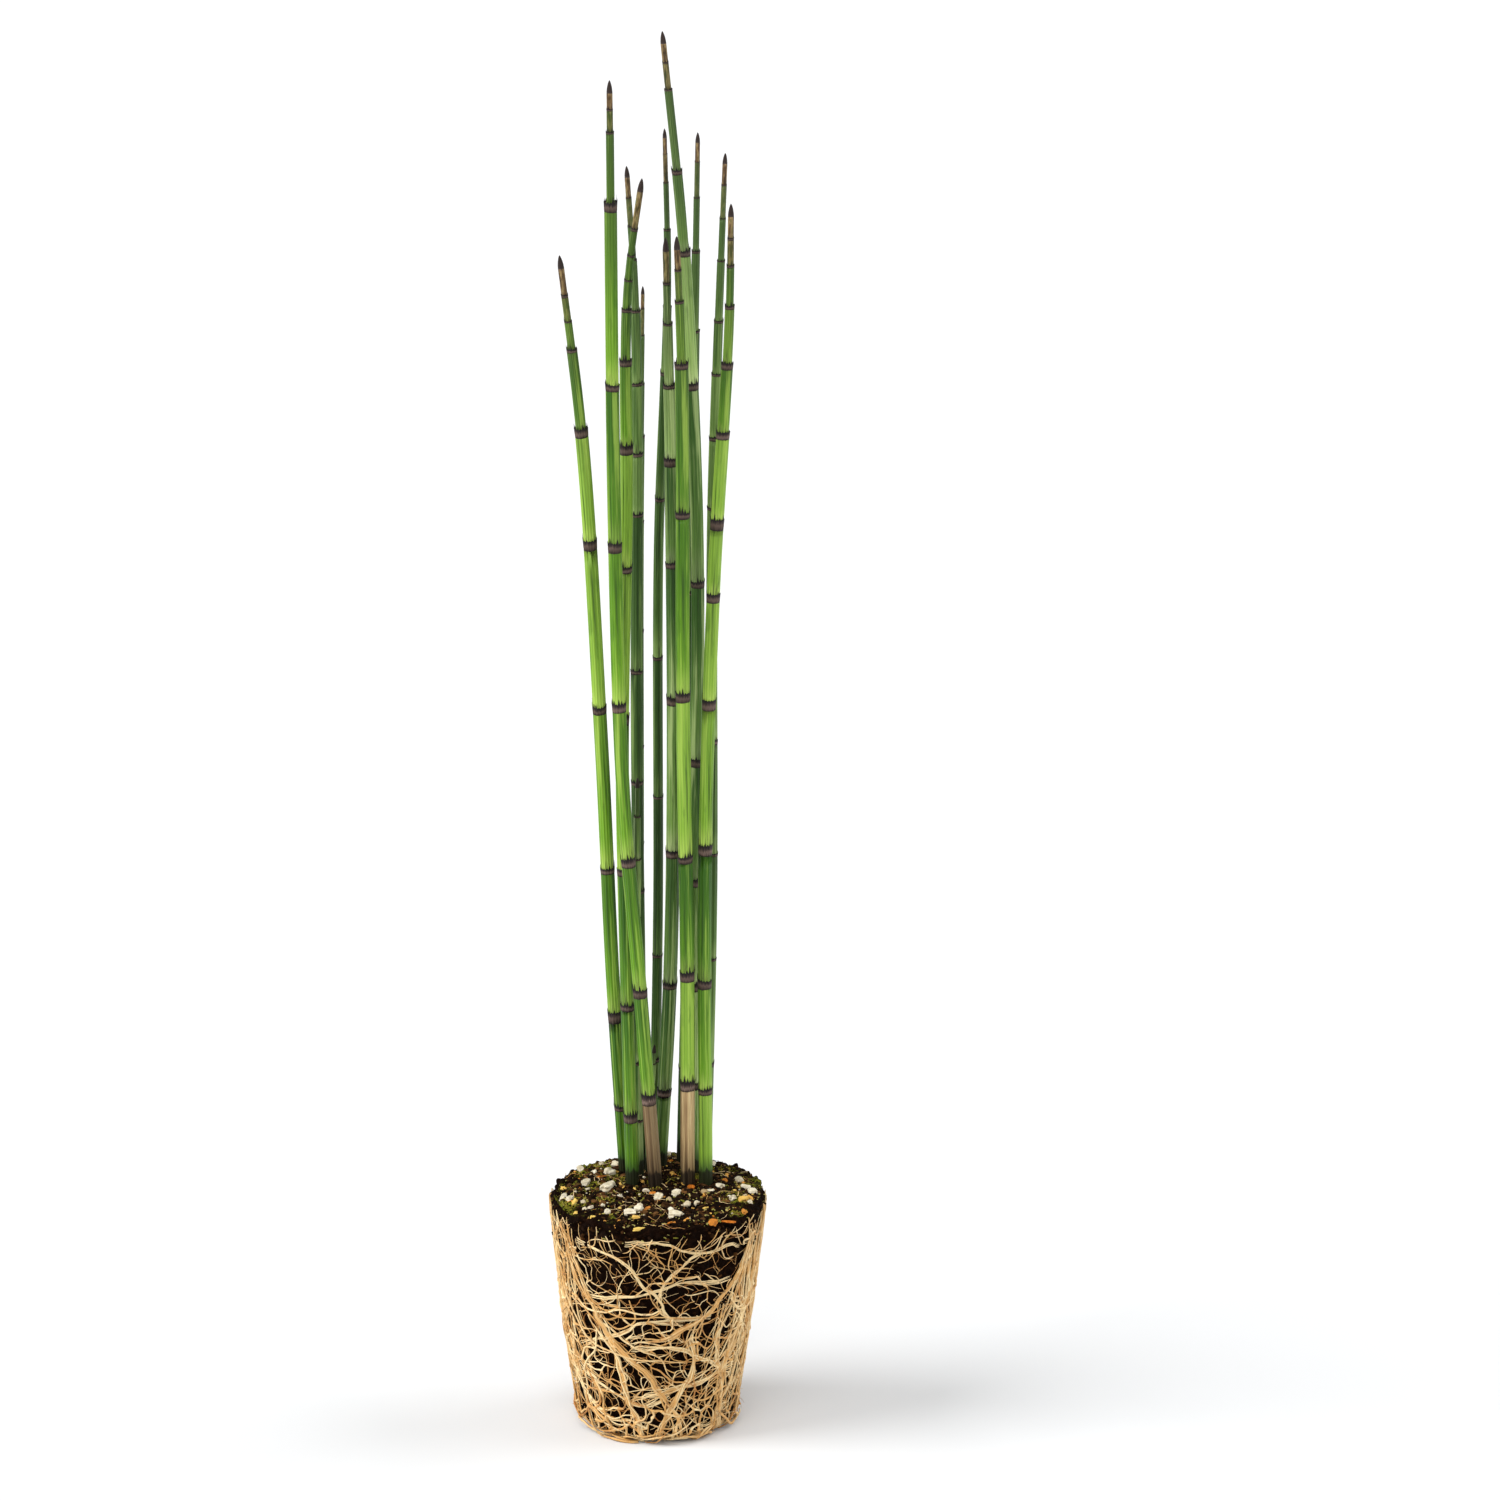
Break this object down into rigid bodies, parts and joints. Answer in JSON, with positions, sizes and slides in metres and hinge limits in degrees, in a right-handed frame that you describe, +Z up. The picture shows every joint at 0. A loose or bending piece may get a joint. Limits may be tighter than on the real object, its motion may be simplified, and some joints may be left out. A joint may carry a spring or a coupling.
{
  "type": "horsetail plant",
  "caption": "Unpotted clump of upright, leafless, jointed green rush-like stems standing in a tapered root ball of potting mix wrapped in a net of pale roots.",
  "frame": {"origin": "centre of the root ball's foot, on the plane that it stands on", "axes": "+Z up along the root ball and the stems, -Y towards the side where the soil is bare and the stems show best"},
  "size_m": [0.0972, 0.0975, 0.642],
  "materials": {
    "stems": "satin green living stem, finely ribbed, with black and tan sheath bands",
    "potting_mix": "matte, crumbly dark peat with white perlite grains",
    "roots": "satin, straw to golden tan fibrous roots"
  },
  "bodies": {
    "root": {"soil": "potting_mix", "root_net": "roots", "stem_left_bowed": "stems", "stem_left_leaning": "stems", "stem_left_front": "stems", "stem_middle_back": "stems", "stem_middle_front": "stems", "stem_right_front": "stems", "stem_tallest": "stems", "stem_back_left": "stems", "stem_back_middle": "stems", "stem_back_right": "stems", "stem_right_back": "stems", "stem_back_short": "stems", "young_shoot_tall": "stems", "young_shoot_low": "stems"}
  },
  "joints": []
}
